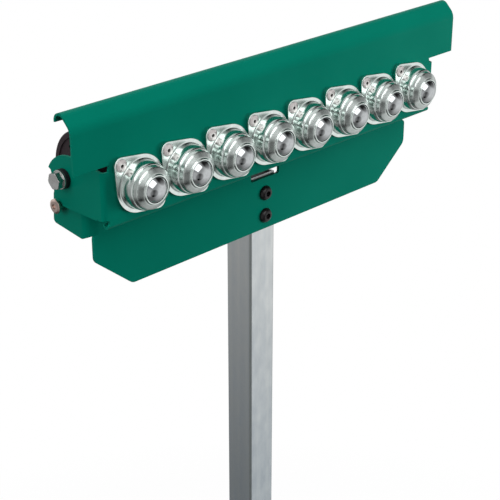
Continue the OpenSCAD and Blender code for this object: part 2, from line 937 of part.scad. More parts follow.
module lock_knob() {
    hub_h = 10;
    lobe_h = 16;
    color(black)
        translate([column_w / 2 + knob_nut_h + 3, 0, knob_z])
            rotate([0, 90, 0])
                difference() {
                    union() {
                        cylinder(d1 = stem_d + 10, d2 = stem_d + 14, h = hub_h);
                        translate([0, 0, hub_h])
                            difference() {
                                rotate_extrude()
                                    polygon([
                                        [0, 0], [knob_d / 2 - 2, 0], [knob_d / 2, 2],
                                        [knob_d / 2, lobe_h - 4], [knob_d / 2 - 3, lobe_h - 0.8],
                                        [knob_d / 2 - 10, lobe_h], [0, lobe_h]
                                    ]);
                                for (a = [0 : 72 : 288])
                                    rotate([0, 0, a])
                                        translate([knob_d * 0.62, 0, -cut])
                                            cylinder(d = knob_d * 0.5, h = lobe_h + 2 * cut);
                            }
                    }
                    translate([0, 0, -cut])
                        cylinder(d = stem_d + 2 * fit_gap, h = 15);
                }
}

// Runs its children on the outside of each column face, once per leg bolt
module at_leg_bolts() {
    for (a = leg_angles, z = leg_bolt_z)
        rotate([0, 0, a])
            translate([0, 0, z])
                rotate([0, 90, 0])
                    children();
}

// A pressed leg: a channel, open below, deep at the column and shallow at its foot
module leg(angle) {
    root = column_w / 2;
    top = column_bottom + leg_root_h;
    tip_top = foot_h + leg_tip_h;
    pad_x = foot_r - foot_d / 2 - 2;
    shoulder_x = root + 12;
    tip_in = leg_t + 2;
    color(green)
        rotate([0, 0, angle])
            difference() {
                rotate([90, 0, 0])
                    linear_extrude(leg_w, center = true)
                        polygon(rounded(
                            [[root, column_bottom], [pad_x - 20, foot_h + 8], [pad_x, foot_h],
                                [leg_reach, foot_h], [leg_reach, tip_top], [shoulder_x, top],
                                [root, top]],
                            [0, 6, 4, 3, 6, 8, 0]));
                rotate([90, 0, 0])
                    linear_extrude(leg_w - 2 * leg_t, center = true)
                        polygon([
                            [root + leg_t, 0], [root + leg_t, top - leg_t],
                            [shoulder_x, top - leg_t - 0.4],
                            [leg_reach - tip_in, tip_top - leg_t - 1],
                            [leg_reach - tip_in, foot_h + leg_t], [pad_x, foot_h + leg_t],
                            [pad_x, 0]
                        ]);
                for (z = leg_bolt_z)
                    translate([0, 0, z])
                        rotate([0, 90, 0])
                            cylinder(d = leg_bolt_d + 2 * fit_gap, h = root + 10);
                translate([foot_r, 0, 0])
                    cylinder(d = foot_screw_d + 2 * fit_gap, h = foot_h + leg_t + cut);
            }
}

module leg_bolts() {
    head_z = column_w / 2 + leg_t;
    color(zinc)
        at_leg_bolts() {
            translate([0, 0, column_bore / 2 - leg_nut_h - 0.7])
                cylinder(d = leg_bolt_d, h = head_z - column_bore / 2 + leg_nut_h + 0.8);
            translate([0, 0, head_z])
                hex_prism(leg_bolt_hex, 5.3);
        }
}

module leg_nuts() {
    color(zinc)
        at_leg_bolts()
            translate([0, 0, column_bore / 2 - leg_nut_h])
                hex_nut(leg_bolt_hex, leg_bolt_d + 2 * fit_gap, leg_nut_h);
}

module at_feet() {
    for (a = leg_angles)
        rotate([0, 0, a])
            translate([foot_r, 0, 0])
                children();
}

module rubber_feet() {
    color(black)
        at_feet()
            difference() {
                rotate_extrude()
                    polygon([
                        [0, 0], [foot_d / 2 - 1.5, 0], [foot_d / 2, 1.5], [foot_d / 2 - 2, foot_h],
                        [0, foot_h]
                    ]);
                translate([0, 0, -cut])
                    cylinder(d = foot_screw_d + 2 * fit_gap, h = foot_h + 2 * cut);
                translate([0, 0, -cut])
                    cylinder(d = foot_screw_d + 8, h = 2 * foot_screw_seat + cut);
            }
}

module foot_screws() {
    color(zinc)
        at_feet() {
            translate([0, 0, foot_screw_seat])
                cylinder(d1 = foot_screw_d + 3, d2 = foot_screw_d + 6, h = foot_screw_seat);
            translate([0, 0, 2 * foot_screw_seat - 0.1])
                cylinder(d = foot_screw_d, h = foot_h + leg_t + foot_nut_h - 2 * foot_screw_seat + 0.7);
        }
}

module foot_nuts() {
    color(zinc)
        at_feet()
            translate([0, 0, foot_h + leg_t])
                hex_nut(foot_screw_d + 4, foot_screw_d + 2 * fit_gap, foot_nut_h);
}

column_tube();
column_bush();
knob_nut();
leg(270);  // leg_front
leg(90);  // leg_back
leg(180);  // leg_left
leg(0);  // leg_right
leg_bolts();
leg_nuts();
rubber_feet();
foot_screws();
foot_nuts();
lock_knob();
lock_stem();
mast_tube();
mast_slider();
mast_plug();
head_bracket();
bracket_screws();
bracket_nuts();
stop_screws();
stop_nuts();
roller_axle();
pivot_bolts();
pivot_washers();
spacer_washers();
axle_spacers();
head_plate();
pivot_bushes();
for (i = [1 : unit_count]) {
    ball_cup(i);
    ball_cap(i);
    main_ball(i);
}
flange_rivets();
bearing_balls();
roller_tube();
roller_cap(-1);  // roller_cap_left
roller_cap(1);  // roller_cap_right
roller_bearings();
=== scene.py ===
"""A roller stand with a three-way head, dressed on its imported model.

The file is laid out as a small add-on: settings, one operator for each group of pieces, one for the
stage, and a panel that lists them. Sizes are in metres and colours are sRGB hex values.
"""

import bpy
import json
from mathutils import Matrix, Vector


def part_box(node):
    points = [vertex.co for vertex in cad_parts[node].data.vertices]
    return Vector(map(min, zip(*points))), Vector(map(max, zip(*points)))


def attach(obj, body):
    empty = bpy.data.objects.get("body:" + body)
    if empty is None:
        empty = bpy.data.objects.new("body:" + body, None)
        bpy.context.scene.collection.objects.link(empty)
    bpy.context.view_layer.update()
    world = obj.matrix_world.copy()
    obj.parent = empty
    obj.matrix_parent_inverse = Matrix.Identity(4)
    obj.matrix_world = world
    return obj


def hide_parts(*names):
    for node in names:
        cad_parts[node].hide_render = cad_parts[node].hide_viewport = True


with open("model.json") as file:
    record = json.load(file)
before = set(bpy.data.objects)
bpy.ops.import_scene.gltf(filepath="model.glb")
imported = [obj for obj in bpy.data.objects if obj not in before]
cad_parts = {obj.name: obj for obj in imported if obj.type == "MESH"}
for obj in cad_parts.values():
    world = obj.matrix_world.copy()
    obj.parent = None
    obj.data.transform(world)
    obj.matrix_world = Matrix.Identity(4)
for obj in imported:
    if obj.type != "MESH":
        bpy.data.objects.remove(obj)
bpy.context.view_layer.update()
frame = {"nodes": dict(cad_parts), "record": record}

import json
import math

import bmesh
import bpy
from bpy.props import FloatProperty, FloatVectorProperty, IntProperty, PointerProperty
from mathutils import Matrix, Vector

bl_info = {
    "name": "Roller stand",
    "version": (1, 0, 0),
    "blender": (4, 5, 0),
    "location": "View3D > Sidebar > Roller stand",
    "description": "Dresses a height-adjustable roller stand with ball transfer units",
    "category": "Object",
}

MM = 0.001


def linear(hex_colour):
    """Turns an sRGB hex colour into the linear values that shaders take."""
    parts = [int(hex_colour[i:i + 2], 16) / 255 for i in (1, 3, 5)]
    return tuple(c / 12.92 if c <= 0.04045 else ((c + 0.055) / 1.055) ** 2.4 for c in parts)


def middle(node):
    """The centre of a CAD node's box."""
    low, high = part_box(node)
    return (low + high) / 2


BALLS = sorted((n for n in frame["nodes"] if n.startswith("ball_") and n[5:].isdigit()),
               key=lambda n: int(n[5:]))
CUPS = [n.replace("ball_", "ball_cup_") for n in BALLS]
CAPS = [n.replace("ball_", "ball_cap_") for n in BALLS]
FIRST = middle(BALLS[0])
PITCH = middle(BALLS[1]).x - FIRST.x
PLATE_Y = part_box(CUPS[0])[1].y


# Materials

# The inputs in which a Mix node of colours keeps its two colours
COLOUR_A, COLOUR_B = 6, 7
# Most of a noise's values lie in this part of 0 to 1
NOISE_SPAN = {"From Min": 0.3, "From Max": 0.7}


def fill(tree, node, inputs):
    """Gives a node's inputs their values. A socket is linked, and a node by the output it has in use."""
    for key, value in inputs.items():
        if isinstance(value, bpy.types.Node):
            value = next(output for output in value.outputs if output.enabled)
        if isinstance(value, bpy.types.NodeSocket):
            tree.links.new(value, node.inputs[key])
        else:
            node.inputs[key].default_value = value


def add(tree, kind, settings=None, inputs=None):
    """Adds a node, sets its settings, and gives its inputs their values or links."""
    made = tree.nodes.new(kind)
    for key, value in (settings or {}).items():
        setattr(made, key, value)
    fill(tree, made, inputs or {})
    return made


def new_material(name):
    """An empty node material, with its shader, its output and its object coordinates."""
    made = bpy.data.materials.new(name)
    made.use_nodes = True
    tree = made.node_tree
    tree.nodes.clear()
    shader = add(tree, "ShaderNodeBsdfPrincipled")
    add(tree, "ShaderNodeOutputMaterial", inputs={"Surface": shader})
    where = add(tree, "ShaderNodeTexCoord").outputs["Object"]
    return made, tree, shader, where


def grain(tree, where, size, detail, stretch=(1, 1, 1), rough=0.5):
    """Noise whose blotches are about size metres across, longer along the axes with less stretch."""
    place = add(tree, "ShaderNodeMapping", inputs={"Vector": where, "Scale": stretch})
    return add(tree, "ShaderNodeTexNoise", inputs={
        "Vector": place, "Scale": 1 / size, "Detail": detail, "Roughness": rough})


def tinted(tree, noise, one, two):
    """A colour that a noise sways from one to two, given in hex or as linear values."""
    ends = [(*(linear(end) if isinstance(end, str) else end), 1) for end in (one, two)]
    share = add(tree, "ShaderNodeMapRange", inputs={"Value": noise, **NOISE_SPAN})
    return add(tree, "ShaderNodeMix", {"data_type": "RGBA"}, {
        "Factor": share, COLOUR_A: ends[0], COLOUR_B: ends[1]})


def mottled(name, blotch, rough, colours=None, fine=None, relief=None, fixed=None):
    """A finish whose blotches sway its roughness between two ends, and its colour where it has two.

    blotch and fine are the size, detail and stretch of a grain. The fine one shapes the surface, or the
    blotches where there is none, and relief is the depth in metres and the strength of that shape.
    fixed holds the values that are even all over.
    """
    made, tree, shader, where = new_material(name)
    blotches = grain(tree, where, *blotch)
    fill(tree, shader, fixed or {})
    fill(tree, shader, {"Roughness": add(tree, "ShaderNodeMapRange", inputs={
        "Value": blotches, **NOISE_SPAN, "To Min": rough[0], "To Max": rough[1]})})
    if colours:
        fill(tree, shader, {"Base Color": tinted(tree, blotches, *colours)})
    if relief:
        height = grain(tree, where, *fine) if fine else blotches
        fill(tree, shader, {"Normal": add(tree, "ShaderNodeBump", inputs={
            "Height": height, "Distance": relief[0], "Strength": relief[1]})})
    return made


def powder_coated_steel():
    """Sprayed polyester powder, baked: an even satin skin with a faint orange peel."""
    look = bpy.context.scene.stand_finish
    thin = [part * 0.93 for part in look.coat_colour]
    return mottled("powder coated steel", (60 * MM, 2), (0.42, 0.5), (tuple(look.coat_colour), thin),
                   (look.orange_peel, 2), (0.03 * MM, 0.6),
                   {"Specular IOR Level": 0.06, "Specular Tint": (0.1, 1.0, 0.85, 1)})


def zinc_plated_steel(name="zinc plated steel", colours=("#C4C6C5", "#ACABA9")):
    """Turned and pressed steel with bright zinc: a silky mirror, slightly cloudy."""
    return mottled(name, (7 * MM, 4), (0.18, 0.27), colours, (0.9 * MM, 3), (0.01 * MM, 0.4),
                   {"Metallic": 1})


def yellow_passivated_steel():
    """Zinc plate in a warm passivation: bright zinc's cloudy mirror with a straw tint."""
    return zinc_plated_steel("yellow passivated steel", ("#D3BEB4", "#AD9A92"))


def polished_bearing_steel():
    """Ground and lapped chrome steel: a clear mirror with the slightest haze."""
    return mottled("polished bearing steel", (3 * MM, 3), (0.05, 0.1), ("#C0C4C5", "#B5B8BA"),
                   fixed={"Metallic": 1})


def ground_roller_steel():
    """Centreless-ground tube: close rings round the roller that soften its reflections."""
    return mottled("ground roller steel", (1.2 * MM, 3, (1, 0.02, 0.02)), (0.24, 0.34),
                   relief=(0.03 * MM, 0.6), fixed={"Base Color": (*linear("#C6C9CB"), 1), "Metallic": 1})


def rolled_aluminium():
    """The blind rivets' aluminium: a satin disc, faintly warm where the tool has pressed it."""
    return mottled("rolled aluminium", (2.5 * MM, 4), (0.36, 0.48), ("#E0DAD9", "#CCC5C4"),
                   (0.5 * MM, 3), (0.03 * MM, 0.5), {"Metallic": 1})


def black_oxide_steel():
    """Blackened screw steel: a thin dark oxide film with an oily sheen."""
    return mottled("black oxide steel", (1 * MM, 3), (0.22, 0.34), ("#1B1819", "#100E0F"),
                   fixed={"Metallic": 0.4})


def moulded_nylon(name, colours, gloss=0.22):
    """Injection-moulded nylon: spark-eroded satin skin."""
    return mottled(name, (0.8 * MM, 2), (0.46, 0.6), colours, relief=(0.04 * MM, 0.6),
                   fixed={"IOR": 1.53, "Specular IOR Level": gloss})


def moulded_rubber():
    """Compression-moulded black rubber: matt, with a dusty bloom."""
    return mottled("moulded rubber", (6 * MM, 4), (0.7, 0.85), ("#1B1B1C", "#262627"),
                   relief=(0.1 * MM, 0.4))


def turned_zinc_steel():
    """Zinc plate on a turned shell: rings of the tool round each ball draw its reflections outwards."""
    made, tree, shader, where = new_material("turned zinc plated steel")
    pitch = bpy.context.scene.stand_units.pitch
    place = add(tree, "ShaderNodeSeparateXYZ", inputs={0: where}).outputs
    along = add(tree, "ShaderNodeMath", {"operation": "SUBTRACT"}, {0: place["X"], 1: FIRST.x})
    across = add(tree, "ShaderNodeMath", {"operation": "WRAP"}, {0: along, 1: pitch / 2, 2: -pitch / 2})
    down = add(tree, "ShaderNodeMath", {"operation": "SUBTRACT"}, {0: FIRST.z, 1: place["Z"]})
    round_it = add(tree, "ShaderNodeCombineXYZ", inputs={"X": down, "Z": across})
    reach = add(tree, "ShaderNodeVectorMath", {"operation": "LENGTH"}, {0: round_it})
    flow = add(tree, "ShaderNodeVectorTransform", {
        "vector_type": "VECTOR", "convert_from": "OBJECT", "convert_to": "WORLD"}, {"Vector": round_it})
    ring = add(tree, "ShaderNodeCombineXYZ", inputs={"X": reach, "Y": place["Y"]})
    rings = grain(tree, ring, 0.7 * MM, 2)
    clouds = grain(tree, where, 6 * MM, 4)
    # The cap is turned and streaks its reflections, and the cup outside it is drawn and hardly does
    cap_end, cup_start = 17.5 * MM, 19.5 * MM
    fill(tree, shader, {
        # The zinc's colour with a mint tint that is a painted reflection of the green coat
        "Base Color": tinted(tree, clouds, "#E2EAE7", "#CFD9D5"),
        "Roughness": add(tree, "ShaderNodeMapRange", inputs={
            "Value": rings, **NOISE_SPAN, "To Min": 0.14, "To Max": 0.23}),
        "Anisotropic": add(tree, "ShaderNodeMapRange", inputs={
            "Value": reach, "From Min": cap_end, "From Max": cup_start, "To Min": 0.6, "To Max": 0.1}),
        "Normal": add(tree, "ShaderNodeBump", inputs={
            "Height": rings, "Distance": 0.012 * MM, "Strength": 0.5}),
        "Anisotropic Rotation": 0.25, "Tangent": flow, "Metallic": 1})
    return made


def galvanised_tube():
    """Strip-galvanised tube: zinc drawn out in bands by the rolls, darkened by painted shade low down and
    under its top edge, and by a painted dark reflection on its corners.
    """
    made, tree, shader, where = new_material("galvanised tube")
    low_end, high_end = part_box("mast_tube")
    core, half, top = (low_end + high_end) / 2, (high_end.x - low_end.x) / 2, high_end.z
    clouds = grain(tree, where, 9 * MM, 5, (1, 1, 0.45), 0.62)
    bands = grain(tree, where, 7 * MM, 2, (1, 1, 0.012))
    streaks = grain(tree, where, 2.5 * MM, 3, (1, 1, 0.04))
    cloudy, banded = (
        add(tree, "ShaderNodeMapRange", inputs={"Value": noise, **NOISE_SPAN, "To Max": share})
        for noise, share in ((clouds, 0.45), (bands, 0.55)))
    shade = add(tree, "ShaderNodeMath", {"operation": "ADD"}, {0: cloudy, 1: banded})
    # Two tones of the zinc: the second is painted shade for low down on the mast
    bright, painted_shade_tone = (
        add(tree, "ShaderNodeMix", {"data_type": "RGBA"}, {
            "Factor": shade, COLOUR_A: (*linear(one), 1), COLOUR_B: (*linear(two), 1)})
        for one, two in (("#DEE0DE", "#CBD1D4"), ("#B9C0C1", "#A5AEB6")))

    # How far a point is down the mast, from its top to where the painted shade is at its darkest
    height = add(tree, "ShaderNodeSeparateXYZ", inputs={0: where}).outputs["Z"]
    lower = add(tree, "ShaderNodeMapRange", inputs={
        "Value": height, "From Min": top - 0.33, "From Max": top - 0.02, "To Min": 1, "To Max": 0})

    # The rounded corners get a painted dark reflection: there both distances from the core are near half
    # the width
    off_core = add(tree, "ShaderNodeVectorMath", {"operation": "SUBTRACT"}, {0: where, 1: core})
    off_core = add(tree, "ShaderNodeVectorMath", {"operation": "ABSOLUTE"}, {0: off_core})
    off_core = add(tree, "ShaderNodeSeparateXYZ", inputs={0: off_core}).outputs
    nearer = add(tree, "ShaderNodeMath", {"operation": "MINIMUM"}, {0: off_core["X"], 1: off_core["Y"]})
    painted_corner_reflection = add(tree, "ShaderNodeMapRange", inputs={
        "Value": nearer, "From Min": half - 2.4 * MM, "From Max": half - 1.2 * MM, "To Max": 0.75})

    # A painted shadow of the head makes a dark line just under the top edge
    line_start = add(tree, "ShaderNodeMapRange", inputs={
        "Value": height, "From Min": top - 3.0 * MM, "From Max": top - 2.4 * MM, "To Max": 0.8})
    line_end = add(tree, "ShaderNodeMapRange", inputs={
        "Value": height, "From Min": top - 0.7 * MM, "From Max": top - 0.4 * MM, "To Min": 1, "To Max": 0})
    painted_shadow_line = add(tree, "ShaderNodeMath", {"operation": "MULTIPLY"}, {0: line_start, 1: line_end})

    # The zinc's colour, darkened by painted shade low down, a painted dark reflection on the corners and a
    # painted shadow under the top edge
    colour = bright
    for share, over in (
            (lower, painted_shade_tone), (painted_corner_reflection, (*linear("#7F8683"), 1)), (painted_shadow_line, (*linear("#1E2224"), 1))):
        colour = add(tree, "ShaderNodeMix", {"data_type": "RGBA"}, {
            "Factor": share, COLOUR_A: colour, COLOUR_B: over})
    fill(tree, shader, {
        "Base Color": colour, "Metallic": 1,
        "Roughness": add(tree, "ShaderNodeMapRange", inputs={
            "Value": clouds, **NOISE_SPAN, "To Min": 0.36, "To Max": 0.5}),
        "Normal": add(tree, "ShaderNodeBump", inputs={
            "Height": streaks, "Distance": 0.03 * MM, "Strength": 0.5})})
    return made


# The record's slots, and looks for pieces whose real finish differs a little from their slot's
FINISHES = {
    "green_coat": powder_coated_steel,
    "zinc_plate": zinc_plated_steel,
    "turned_zinc": turned_zinc_steel,
    "warm_zinc": yellow_passivated_steel,
    "bearing_steel": polished_bearing_steel,
    "mast_zinc": galvanised_tube,
    "roller_steel": ground_roller_steel,
    "aluminium": rolled_aluminium,
    "black_oxide": black_oxide_steel,
    "black_nylon": lambda: moulded_nylon("moulded black nylon", ("#101114", "#17181B")),
    "knob_nylon": lambda: moulded_nylon("moulded knob nylon", ("#1B1C1E", "#242527"), 0.6),
    "dark_nylon": lambda: moulded_nylon("moulded brown nylon", ("#251B1F", "#1D1619")),
    "foot_rubber": moulded_rubber,
}
made_finishes = {}


def finish(look):
    """The material of a slot or look, made once."""
    if look not in made_finishes:
        made_finishes[look] = FINISHES[look]()
    return made_finishes[look]


def slot_of(node):
    """The record's material slot of a CAD node."""
    return next(s["material_slot"] for s in frame["record"]["subparts"] if s["node"] == node)


def body_of(node):
    """The body that a CAD node rides on."""
    return next(b for b, nodes in frame["record"]["behaviour"]["bodies"].items() if node in nodes)


# Meshes

def tidy_shading(mesh, angle):
    """Smooth faces with sharp edges where the surface turns by more than angle degrees."""
    mesh.shade_smooth()
    mesh.set_sharp_from_angle(angle=math.radians(angle))


def welded(node):
    """A CAD node's mesh with its loose triangles joined and its flat faces made whole."""
    source = frame["nodes"][node].data
    shape = bmesh.new()
    points = [shape.verts.new(v.co) for v in source.vertices]
    for face in source.polygons:
        shape.faces.new([points[i] for i in face.vertices])
    bmesh.ops.remove_doubles(shape, verts=shape.verts, dist=0.002 * MM)
    bmesh.ops.dissolve_limit(shape, angle_limit=math.radians(0.2), verts=shape.verts, edges=shape.edges)
    return as_mesh(node, shape)


def as_mesh(name, shape):
    """A new mesh from a bmesh, which is freed."""
    mesh = bpy.data.meshes.new(name)
    shape.to_mesh(mesh)
    shape.free()
    return mesh


def as_object(name, data):
    """A new object in the scene that shows a mesh, a lamp or a camera."""
    made = bpy.data.objects.new(name, data)
    bpy.context.scene.collection.objects.link(made)
    return made


def baked(made):
    """Turns what an object's modifiers make into its plain mesh."""
    seen = made.evaluated_get(bpy.context.evaluated_depsgraph_get())
    mesh = bpy.data.meshes.new_from_object(seen)
    made.modifiers.clear()
    made.data = mesh
    return made


def softened(node, width, name=None):
    """A copy of a CAD node whose edges are broken by width metres, as a press or file leaves them."""
    made = as_object(name or node + "_dressed", welded(node))
    edge = made.modifiers.new("broken edges", "BEVEL")
    edge.width = width
    edge.segments = 2
    edge.limit_method = "ANGLE"
    edge.angle_limit = math.radians(32)
    tidy_shading(made.data, 40)
    return evened(made)


def evened(made):
    """Lets the large faces of a mesh set its shading, so that flat sheet looks flat up to its edge."""
    even = made.modifiers.new("even faces", "WEIGHTED_NORMAL")
    even.mode = "FACE_AREA"
    even.weight = 100
    even.keep_sharp = True
    return baked(made)


def dress(made, slot, body, *nodes, look=None):
    """Gives a piece its finish and its body, and lets it stand for CAD nodes."""
    made.data.materials.clear()
    made.data.materials.append(finish(look or slot))
    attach(made, body)
    if nodes:
        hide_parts(*nodes)


def dress_node(node, width, look=None):
    """Stands a softened copy of a node in its place."""
    dress(softened(node, width), slot_of(node), body_of(node), node, look=look)


def paint(node):
    """Gives a CAD node that shows as it is the finish of its slot."""
    for slot in frame["nodes"][node].material_slots:
        slot.material = finish(slot_of(node))


def narrow_drum(made, start, end, drop, cuts):
    """Lets the radius of the first unit's drum fall by drop, from start to end metres off the plate.

    With cuts, rings are cut into the wall and it is rounded to a quarter of an ellipse. Without them it
    tapers straight.
    """
    shape = bmesh.new()
    shape.from_mesh(made.data)
    for step in range(cuts):
        reach = start + (end - start) * math.sin(step / cuts * math.pi / 2)
        bmesh.ops.bisect_plane(
            shape, geom=shape.verts[:] + shape.edges[:] + shape.faces[:], plane_no=(0, 1, 0),
            plane_co=(0, PLATE_Y - reach, 0))
    drum = max(math.hypot(v.co.x - FIRST.x, v.co.z - FIRST.z) for v in shape.verts
               if PLATE_Y - v.co.y > (start + end) / 2)
    for vert in shape.verts:
        off = Vector((vert.co.x - FIRST.x, 0, vert.co.z - FIRST.z))
        part = min((PLATE_Y - vert.co.y - start) / (end - start), 1)
        if part > 0 and off.length > drum - drop:
            limit = drum - drop * (1 - math.sqrt(1 - part * part) if cuts else part)
            off *= min(1, limit / off.length)
            vert.co.x, vert.co.z = FIRST.x + off.x, FIRST.z + off.z
    shape.to_mesh(made.data)
    shape.free()


def turned(name, outline, steps):
    """A turned piece: an outline of radius and height in mm, from axis to axis, spun round its own Z."""
    shape = bmesh.new()
    points = [shape.verts.new((r * MM, 0, z * MM)) for r, z in outline]
    edges = [shape.edges.new(pair) for pair in zip(points, points[1:])]
    bmesh.ops.spin(shape, geom=points + edges, cent=(0, 0, 0), axis=(0, 0, 1), dvec=(0, 0, 0),
                   angle=math.tau, steps=steps, use_duplicate=False)
    bmesh.ops.remove_doubles(shape, verts=shape.verts, dist=0.001 * MM)
    bmesh.ops.recalc_face_normals(shape, faces=shape.faces)
    return as_mesh(name, shape)


# Thickness of a blind rivet's head, in mm
RIVET_HEAD_T = 1.1


def rivet_outline(head, face, tail):
    """A set blind rivet: the bulb behind the sheet, the shank, and the flat head with its open bore.

    head is its radius, face the height of the sheet that it presses on, and tail its far end, in mm.
    """
    core, shank, bulb, bore = 1.3, 2, 3, 1.4
    return [
        (0, tail), (1.1, tail), (core, tail + 0.3), (core, tail + 0.8), (2.6, tail + 0.9),
        (bulb, tail + 1.4), (3.05, tail + 2.4), (2.7, tail + 3.4), (shank, tail + 3.8), (shank, face),
        (head - 0.25, face), (head, face + 0.2), (head - 0.12, face + 0.5), (4.6, face + 0.85),
        (2.6, face + 1.05), (1.8, face + RIVET_HEAD_T), (1.5, face + 1.0), (bore, face + 0.7),
        (bore, face - 0.8), (0, face - 0.8)]


def mandrel_outline(face):
    """The mandrel's stub that fills a rivet's bore, with the rough end where it snapped, in mm."""
    core = 1.38
    return [(0, face - 0.7), (core, face - 0.7), (core, face + 0.1), (1.1, face + 0.3),
            (0.7, face + 0.15), (0.3, face + 0.4), (0, face + 0.35)]


# The cover in the lock knob's face: a lip, a groove and a shallow dome, as radius and height in mm
COVER_OUTLINE = [(0, -2), (11.6, -2), (11.6, -0.1), (11.2, 0.15), (10.6, -0.05), (10.2, -0.7),
                 (9.6, -0.7), (9.2, 0.1), (8.4, 0.5), (6, 0.75), (3, 0.88), (0, 0.9)]


# Geometry Nodes

def new_tree(name, inputs):
    """A geometry tree with the named inputs after its geometry."""
    tree = bpy.data.node_groups.new(name, "GeometryNodeTree")
    tree.interface.new_socket("Geometry", in_out="INPUT", socket_type="NodeSocketGeometry")
    for label, kind in inputs:
        tree.interface.new_socket(label, in_out="INPUT", socket_type=kind)
    tree.interface.new_socket("Geometry", in_out="OUTPUT", socket_type="NodeSocketGeometry")
    return tree, add(tree, "NodeGroupInput").outputs


def close_tree(tree, instances, material):
    """Ends a tree in plain geometry with its material."""
    plain = add(tree, "GeometryNodeRealizeInstances", inputs={"Geometry": instances})
    painted = add(tree, "GeometryNodeSetMaterial", inputs={"Geometry": plain, "Material": material})
    add(tree, "NodeGroupOutput", inputs={"Geometry": painted})
    return tree


def grow(made, tree, values):
    """Runs a tree on an object with its inputs set, and keeps the result as a plain mesh."""
    step = made.modifiers.new(tree.name, "NODES")
    step.node_group = tree
    for item in tree.interface.items_tree:
        if item.item_type == "SOCKET" and item.in_out == "INPUT" and item.name in values:
            step[item.identifier] = values[item.name]
    return baked(made)


def row_tree():
    """Copies a piece along X: the units' cups and caps."""
    tree, given = new_tree("row of units", [
        ("Count", "NodeSocketInt"), ("Pitch", "NodeSocketFloat"), ("Material", "NodeSocketMaterial")])
    offset = add(tree, "ShaderNodeCombineXYZ", inputs={"X": given["Pitch"]})
    line = add(tree, "GeometryNodeMeshLine", inputs={"Count": given["Count"], "Offset": offset})
    copies = add(tree, "GeometryNodeInstanceOnPoints", inputs={
        "Points": line, "Instance": given["Geometry"]})
    return close_tree(tree, copies, given["Material"])


def rivet_tree():
    """Copies a rivet to both lobes of each flange in the row."""
    tree, given = new_tree("rivets on the flanges", [
        ("Count", "NodeSocketInt"), ("Pitch", "NodeSocketFloat"), ("First", "NodeSocketVector"),
        ("Lobe", "NodeSocketVector"), ("Material", "NodeSocketMaterial")])
    offset = add(tree, "ShaderNodeCombineXYZ", inputs={"X": given["Pitch"]})
    line = add(tree, "GeometryNodeMeshLine", inputs={
        "Count": given["Count"], "Start Location": given["First"], "Offset": offset})
    back = add(tree, "ShaderNodeVectorMath", {"operation": "SCALE"}, {
        "Vector": given["Lobe"], "Scale": -2.0})
    pair = add(tree, "GeometryNodeMeshLine", inputs={
        "Count": 2, "Start Location": given["Lobe"], "Offset": back})
    pairs = add(tree, "GeometryNodeInstanceOnPoints", inputs={"Points": line, "Instance": pair})
    places = add(tree, "GeometryNodeRealizeInstances", inputs={"Geometry": pairs})
    copies = add(tree, "GeometryNodeInstanceOnPoints", inputs={
        "Points": places, "Instance": given["Geometry"], "Rotation": (math.pi / 2, 0, 0)})
    return close_tree(tree, copies, given["Material"])


# Settings

class StandFinish(bpy.types.PropertyGroup):
    """Settings of the finishes"""
    coat_colour: FloatVectorProperty(
        name="Coat colour", description="Colour of the powder coat on the sheet and tubes",
        subtype="COLOR", size=3, min=0, max=1, default=linear("#006856"))
    orange_peel: FloatProperty(
        name="Orange peel", description="Width of the powder coat's ripples",
        subtype="DISTANCE", unit="LENGTH", min=0.2 * MM, max=6 * MM, default=1.6 * MM)
    broken_edge: FloatProperty(
        name="Sheet edge", description="How far the edges of cut sheet are rounded under the coat",
        subtype="DISTANCE", unit="LENGTH", min=0.05 * MM, max=1 * MM, default=0.45 * MM)


class StandUnits(bpy.types.PropertyGroup):
    """Settings of the ball transfer units"""
    count: IntProperty(
        name="Units", description="Ball transfer units along the head", min=1, max=16, default=len(BALLS))
    pitch: FloatProperty(
        name="Pitch", description="Distance between neighbouring units",
        subtype="DISTANCE", unit="LENGTH", min=0.04, max=0.1, default=PITCH)
    rivet_head: FloatProperty(
        name="Rivet head", description="Radius of the flat heads of the blind rivets",
        subtype="DISTANCE", unit="LENGTH", min=3 * MM, max=6 * MM, default=5.4 * MM)


class StandStage(bpy.types.PropertyGroup):
    """Settings of the floor and the lights"""
    floor_colour: FloatVectorProperty(
        name="Floor", description="Colour of the studio floor",
        subtype="COLOR", size=3, min=0, max=1, default=linear("#F4F4F3"))
    key_power: FloatProperty(
        name="Front light", description="Power of the soft light in front of the ball plate",
        unit="POWER", min=0, max=400, default=19)
    top_power: FloatProperty(
        name="Top light", description="Power of the soft light above the head",
        unit="POWER", min=0, max=400, default=17)
    side_power: FloatProperty(
        name="Side light", description="Power of the soft light on the open end of the head",
        unit="POWER", min=0, max=400, default=24)
    right_power: FloatProperty(
        name="Right light", description="Power of the soft light on the bracket's right half",
        unit="POWER", min=0, max=400, default=12)


# Pieces

class STAND_OT_head_sheet(bpy.types.Operator):
    """The folded head plate with its rolled bead, wings, panels and lip"""
    bl_idname = "stand.head_sheet"
    bl_label = "Head plate"

    def execute(self, context):
        dress_node("head_plate", context.scene.stand_finish.broken_edge)
        return {"FINISHED"}


class STAND_OT_bracket(bpy.types.Operator):
    """The bracket with its two ears, and its button-head screws and nuts"""
    bl_idname = "stand.bracket"
    bl_label = "Bracket"

    def execute(self, context):
        dress_node("head_bracket", context.scene.stand_finish.broken_edge)
        dress_node("bracket_screws", 0.25 * MM)
        dress_node("bracket_nuts", 0.25 * MM)
        return {"FINISHED"}


